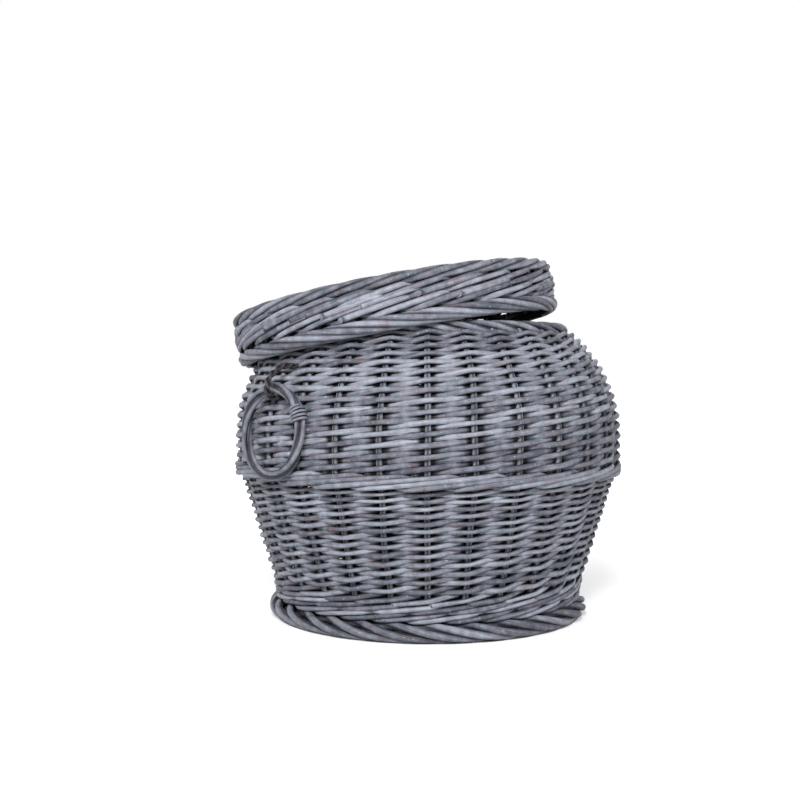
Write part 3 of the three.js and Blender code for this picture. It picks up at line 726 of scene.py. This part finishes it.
# Lid, in its own upright frame, then tilted as the frame's lid lies
lid = {
    "tuck": 2.0 * mm,         # how far the weave runs on into the borders
    "stakeDiameter": 4.8 * mm,
    "stakeReach": 0.7,        # above and below the skirt's middle, as a share of its height
    "stakeSteps": 6,
    "stakeShade": 0.8,         # painted shade, because the weave all but hides them
}
lidSkirt = dict(bottomWale, rounds=2, diameter=6.9 * mm, line=7.4 * mm, base=4.8 * mm, startStake=9)
skirtButt = {
    "count": 38,
    "placesPerStake": 2,
    "start": -0.3,            # stakes from the first stake
    "end": 2.0,
    "lowest": 0.12,           # height of the first stake's crossing, as a share of the skirt's height
    "highest": 0.7,
    "rise": 0.9,              # of the skirt's line, for each stake
    "thinnest": 0.95,         # beside the skirt's strands
    "thickest": 1.15,
    "bed": 1.15,              # how far it stands off a stake, as a share of its radius
    "slype": 1.3,
    "steps": 20,
}


def lidPlace():
    # upright axis of the lid through the middles of its two borders
    low = nodePoints("lid_lower_border").mean(axis=0)
    high = nodePoints("lid_top_border").mean(axis=0)
    turn = np.array(Vector((0, 0, 1)).rotation_difference(Vector(high - low)).to_matrix())
    return {"turn": turn, "origin": low}


def skirtButts(line, skirt, spec):
    # Short rods that start with a slant cut on the outside and slip in behind the second stake
    count, each = spec["count"], spec["placesPerStake"]
    t = np.linspace(spec["start"], spec["end"], spec["steps"])
    at = np.sort(draw.choice(stakeCount * each, count, replace=False))[:, None] / each
    crossing = draw.uniform(spec["lowest"], spec["highest"], (count, 1)) * lineLength(line)
    climb = crossing + skirt["line"] * spec["rise"] * t
    thick = skirt["diameter"] / 2 * draw.uniform(spec["thinnest"], spec["thickest"], (count, 1))
    radii = thick * np.ones_like(t)
    lay = np.where(t < 1, 1, np.cos(math.pi * (t - 1)))
    swing = (lid["stakeDiameter"] / 2 + spec["bed"] * radii) * lay
    paths, out = onWall(line, (at + t + 0.5) * pitch, climb, swing)
    return carryRods(paths, radii, out, slype=spec["slype"])


def makeSkirt(place):
    # wale and butts on an upright line, over short stakes
    radius, height, _, depth = section("lid_skirt", place)
    reach = depth / 2 + lid["tuck"]
    line = np.array([[radius, height - reach], [radius, height + reach]])
    strands = wale(line, lidSkirt)
    butts = skirtButts(line, lidSkirt, skirtButt)
    angle = (np.arange(stakeCount)[:, None] + 0.5) * pitch
    share = np.linspace(-lid["stakeReach"], lid["stakeReach"], lid["stakeSteps"])
    uprights = roundAxis(angle, radius, height + depth * share)
    out = roundAxis(angle, 1.0, 0.0)
    stakes = carryRods(uprights, lid["stakeDiameter"] / 2, out, sunk=lid["stakeShade"])
    rods = [strands, butts, stakes]
    makePiece("lid_skirt_rods", rods, weaveWillow, "lid", ["lid_skirt"], place)


def makeLid():
    # skirt, the two borders that hold it, and the woven top
    place = lidPlace()
    makeSkirt(place)
    for node, spec in (("lid_lower_border", lidLowerBorder), ("lid_top_border", lidTopBorder)):
        rods = laidBorder(spec, *section(node, place))
        makePiece(node + "_rods", [rods], borderWillow, "lid", [node], place)
    makeRound("lid", "lid", "lid_top", place)


makeLid()

# Ring handles: one rod wound three times into a ring, a skein binding, and a twisted loop in the wall
ringHandle = {
    "radius": 47.0 * mm,
    "rod": 5.7 * mm,
    "winds": 3,
    "twists": 4,             # twists of the bundle in all the winds
    "thickWaver": 0.06,
    "thickWave": 0.1,        # of the rod's length
    "steps": 220,
    "corners": 12,
    "tube": 6.1 * mm,        # radius of the whole bundle
    "skein": 3.2 * mm,
    "skeinTurns": 4.5,
    "skeinLength": 16.0 * mm,
    "skeinBed": 0.4,         # how far it stands off the bundle, as a share of its thickness
    "skeinTuck": 1.2 * mm,   # how far its ends are drawn in
    "skeinEnd": 0.06,        # share of its length that is drawn in
    "skeinSteps": 110,
    "loopStrand": 3.5 * mm,
    "loopReach": 11.0 * mm,  # from the ring's middle line to the loop's
    "loopRise": 12.0 * mm,   # drawn up along the wall above the ring
    "loopTwists": 4.5,
    "loopSteps": 110,
}


def roundRing(bearing, turn, offset, spec):
    # A path that stands an offset off the ring's middle line, turned round it, and the way it stands there.
    # Bearings start at the top of the ring and run to the right.
    reach = spec["radius"] + offset * np.cos(turn)
    path = [reach * np.sin(bearing), reach * np.cos(bearing), offset * np.sin(turn)]
    side = [np.cos(turn) * np.sin(bearing), np.cos(turn) * np.cos(bearing), np.sin(turn)]
    return np.stack(path, axis=-1)[None], np.stack(side, axis=-1)[None]


def ringBundle(spec):
    # The rod goes round the ring winds times while its place in the bundle turns twists times. Three rods
    # that touch each other lie rod / sqrt(3) from their middle.
    s = np.arange(spec["steps"]) / spec["steps"]
    bearing = 2 * math.pi * spec["winds"] * s
    turn = 2 * math.pi * spec["twists"] * s
    path, side = roundRing(bearing, turn, spec["rod"] / math.sqrt(3), spec)
    radii = spec["rod"] / 2 * (1 + waver(1, s, spec["thickWaver"], spec["thickWave"]))
    return carryRods(path, radii, side, corners=spec["corners"], closed=True)


def skeinBinding(spec, middle):
    # A helix round the bundle, over a short arc of the ring, with its ends drawn in
    s = np.linspace(0, 1, spec["skeinSteps"])
    bearing = middle + (s - 0.5) * spec["skeinLength"] / spec["radius"]
    turn = 2 * math.pi * spec["skeinTurns"] * s
    ends = smooth(0, spec["skeinEnd"], s) * smooth(0, spec["skeinEnd"], 1 - s)
    tuck = spec["skeinTuck"]
    offset = spec["tube"] - tuck + (spec["skeinBed"] * spec["skein"] + tuck) * ends
    path, side = roundRing(bearing, turn, offset, spec)
    return carryRods(path, spec["skein"] / 2, side)


def twistedLoop(spec, pivot):
    # Two strands twisted about a line that leaves the wall, bows round the ring and goes back in. From the
    # pivot, outwards and up: (reach cos a - lean sin^2 a, (reach + rise) sin a) above, a circle below.
    reach, rise = spec["loopReach"], spec["loopRise"]
    pivotRadius, pivotHeight = np.hypot(pivot[0], pivot[1]), pivot[2]
    heights = pivotHeight + np.array([reach + rise, -reach, 0])
    wallRadius = np.interp(heights, upperLine[:, 1], upperLine[:, 0])
    bow = np.linspace(math.pi / 2, -math.pi / 2, spec["loopSteps"])
    above = np.maximum(np.sin(bow), 0)
    out = reach * np.cos(bow) - (wallRadius[2] - wallRadius[0]) * above ** 2
    up = reach * np.sin(bow) + rise * above
    out = np.concatenate([[wallRadius[0] - pivotRadius], out, [wallRadius[1] - pivotRadius]])
    up = np.concatenate([up[:1], up, up[-1:]])
    way = np.concatenate([[0], np.cumsum(np.hypot(np.diff(out), np.diff(up)))])
    s = np.linspace(0, 1, spec["loopSteps"])
    middle = np.stack([np.interp(s * way[-1], way, out), 0 * s, np.interp(s * way[-1], way, up)], axis=-1)
    across = np.array([0, 1.0, 0])
    square = unit(np.cross(np.gradient(middle, axis=0), across))
    turn = 2 * math.pi * spec["loopTwists"] * s + np.array([[0], [math.pi]])
    side = np.cos(turn)[..., None] * square + np.sin(turn)[..., None] * across
    return carryRods(middle + spec["loopStrand"] / 2 * side, spec["loopStrand"] / 2, side)


def makeHandle(joint, spec):
    # The ring lies in the plane of its own up and right, about its centre, and the loop about the pivot
    ring = joint["child"]
    binding = ring + "_binding"
    loop = ring.replace("ring", "handle_loop")
    pivot = np.array(joint["pos_m"])
    centre = nodePoints(ring).mean(axis=0)
    up = unit(pivot - centre)
    outward = unit(pivot * [1, 1, 0])
    right = unit(np.cross(up, outward))
    normal = np.cross(right, up)
    ringPlace = {"turn": np.column_stack([right, up, normal]), "origin": centre}
    bound = (nodePoints(binding).mean(axis=0) - centre) @ ringPlace["turn"]
    rods = ringBundle(spec)
    makePiece(ring + "_rods", [rods], ringWillow, ring, [ring], ringPlace)
    skein = skeinBinding(spec, math.atan2(bound[0], bound[1]))
    makePiece(ring + "_skein", [skein], skeinWillow, ring, [binding], ringPlace)
    upright = np.array([0, 0, 1.0])
    loopTurn = np.column_stack([outward, np.cross(upright, outward), upright])
    loopPlace = {"turn": loopTurn, "origin": pivot}
    strands = twistedLoop(spec, pivot)
    makePiece(loop + "_strands", [strands], loopWillow, "basket", [loop], loopPlace)


for swing in frame["joints"]:
    if swing["name"].endswith("_ring_swing"):
        makeHandle(swing, ringHandle)

# Stage: pale floor, white backdrop and soft light
studio = {
    "floorSize": 40.0,
    "floor": "#e2e2e2",
    "glowNear": 0.42,       # lifts the floor to white in the background's rays alone, less beside the basket
    "glowFar": 1.0,
    "underReach": 0.183,    # metres from the basket's axis: no glow under the basket
    "nearReach": 0.30,
    "farReach": 1.1,
    "backdrop": "#ffffff",
    "backdropGlow": 1.0,
    "world": 0.13,          # light from all round
    "lamps": {              # place, size and watts
        "softbox_front": ((-1.75, -1.45, 1.5), 0.55, 66.0),
        "softbox_left": ((-2.2, 0.6, 0.8), 0.8, 14.0),
        "softbox_right": ((0.7, -2.2, 0.8), 0.8, 17.0),
        "softbox_back": ((1.7, 1.7, 1.5), 1.0, 42.0),
    },
    "aim": (0.0, 0.0, 0.2),
}


def backgroundRay(tree):
    # 1 for the rays that show the background: straight to the camera, mirrored or refracted
    path = addNode(tree, "ShaderNodeLightPath").outputs
    ray = path["Is Camera Ray"]
    for kind in ("Is Glossy Ray", "Is Transmission Ray"):
        ray = addNode(tree, "ShaderNodeMath", {0: ray, 1: path[kind]}, operation="MAXIMUM").outputs[0]
    return ray


def makeFloor(spec):
    # A square whose glow grows with the distance from the basket, and which takes its shadow
    half = spec["floorSize"] / 2
    corners = [(half * x, half * y, 0) for x, y in ((-1, -1), (1, -1), (1, 1), (-1, 1))]
    mesh = bpy.data.meshes.new("floor")
    mesh.from_pydata(corners, [], [(0, 1, 2, 3)])
    floor = bpy.data.objects.new("floor", mesh)
    bpy.context.scene.collection.objects.link(floor)
    material = bpy.data.materials.new("pale_floor")
    material.use_nodes = True
    tree = material.node_tree
    tree.nodes.clear()
    place = addNode(tree, "ShaderNodeTexCoord").outputs["Object"]
    away = addNode(tree, "ShaderNodeVectorMath", {0: place}, operation="LENGTH").outputs["Value"]
    glow = addNode(tree, "ShaderNodeMapRange", {
        "Value": away,
        "From Min": spec["nearReach"],
        "From Max": spec["farReach"],
        "To Min": spec["glowNear"],
        "To Max": spec["glowFar"],
    }).outputs[0]
    clearInputs = {0: away, 1: spec["underReach"]}
    clear = addNode(tree, "ShaderNodeMath", clearInputs, operation="GREATER_THAN").outputs[0]
    for share in (clear, backgroundRay(tree)):
        glow = addNode(tree, "ShaderNodeMath", {0: glow, 1: share}, operation="MULTIPLY").outputs[0]
    paint = addNode(tree, "ShaderNodeBsdfDiffuse", {"Color": linear(spec["floor"])})
    shine = addNode(tree, "ShaderNodeEmission", {"Strength": glow})
    both = addNode(tree, "ShaderNodeAddShader", {0: paint.outputs[0], 1: shine.outputs[0]})
    addNode(tree, "ShaderNodeOutputMaterial", {"Surface": both.outputs[0]})
    mesh.materials.append(material)


def makeLights(spec):
    # square lamps that face the aim
    for name, (spot, size, watts) in spec["lamps"].items():
        data = bpy.data.lights.new(name, "AREA")
        data.size = size
        data.energy = watts
        lamp = bpy.data.objects.new(name, data)
        lamp.location = spot
        lamp.rotation_euler = (Vector(spec["aim"]) - Vector(spot)).to_track_quat("-Z", "Y").to_euler()
        bpy.context.scene.collection.objects.link(lamp)


def makeWorld(spec):
    # white in the background's rays, and a little light from all round
    world = bpy.data.worlds.new("white_studio")
    world.use_nodes = True
    tree = world.node_tree
    tree.nodes.clear()
    glowInputs = {"Value": backgroundRay(tree), "To Min": spec["world"], "To Max": spec["backdropGlow"]}
    glow = addNode(tree, "ShaderNodeMapRange", glowInputs).outputs[0]
    back = addNode(tree, "ShaderNodeBackground", {"Color": linear(spec["backdrop"]), "Strength": glow})
    addNode(tree, "ShaderNodeOutputWorld", {"Surface": back.outputs[0]})
    bpy.context.scene.world = world


makeFloor(studio)
makeLights(studio)
makeWorld(studio)
bpy.context.scene.view_settings.view_transform = "Standard"
print("stage ready")
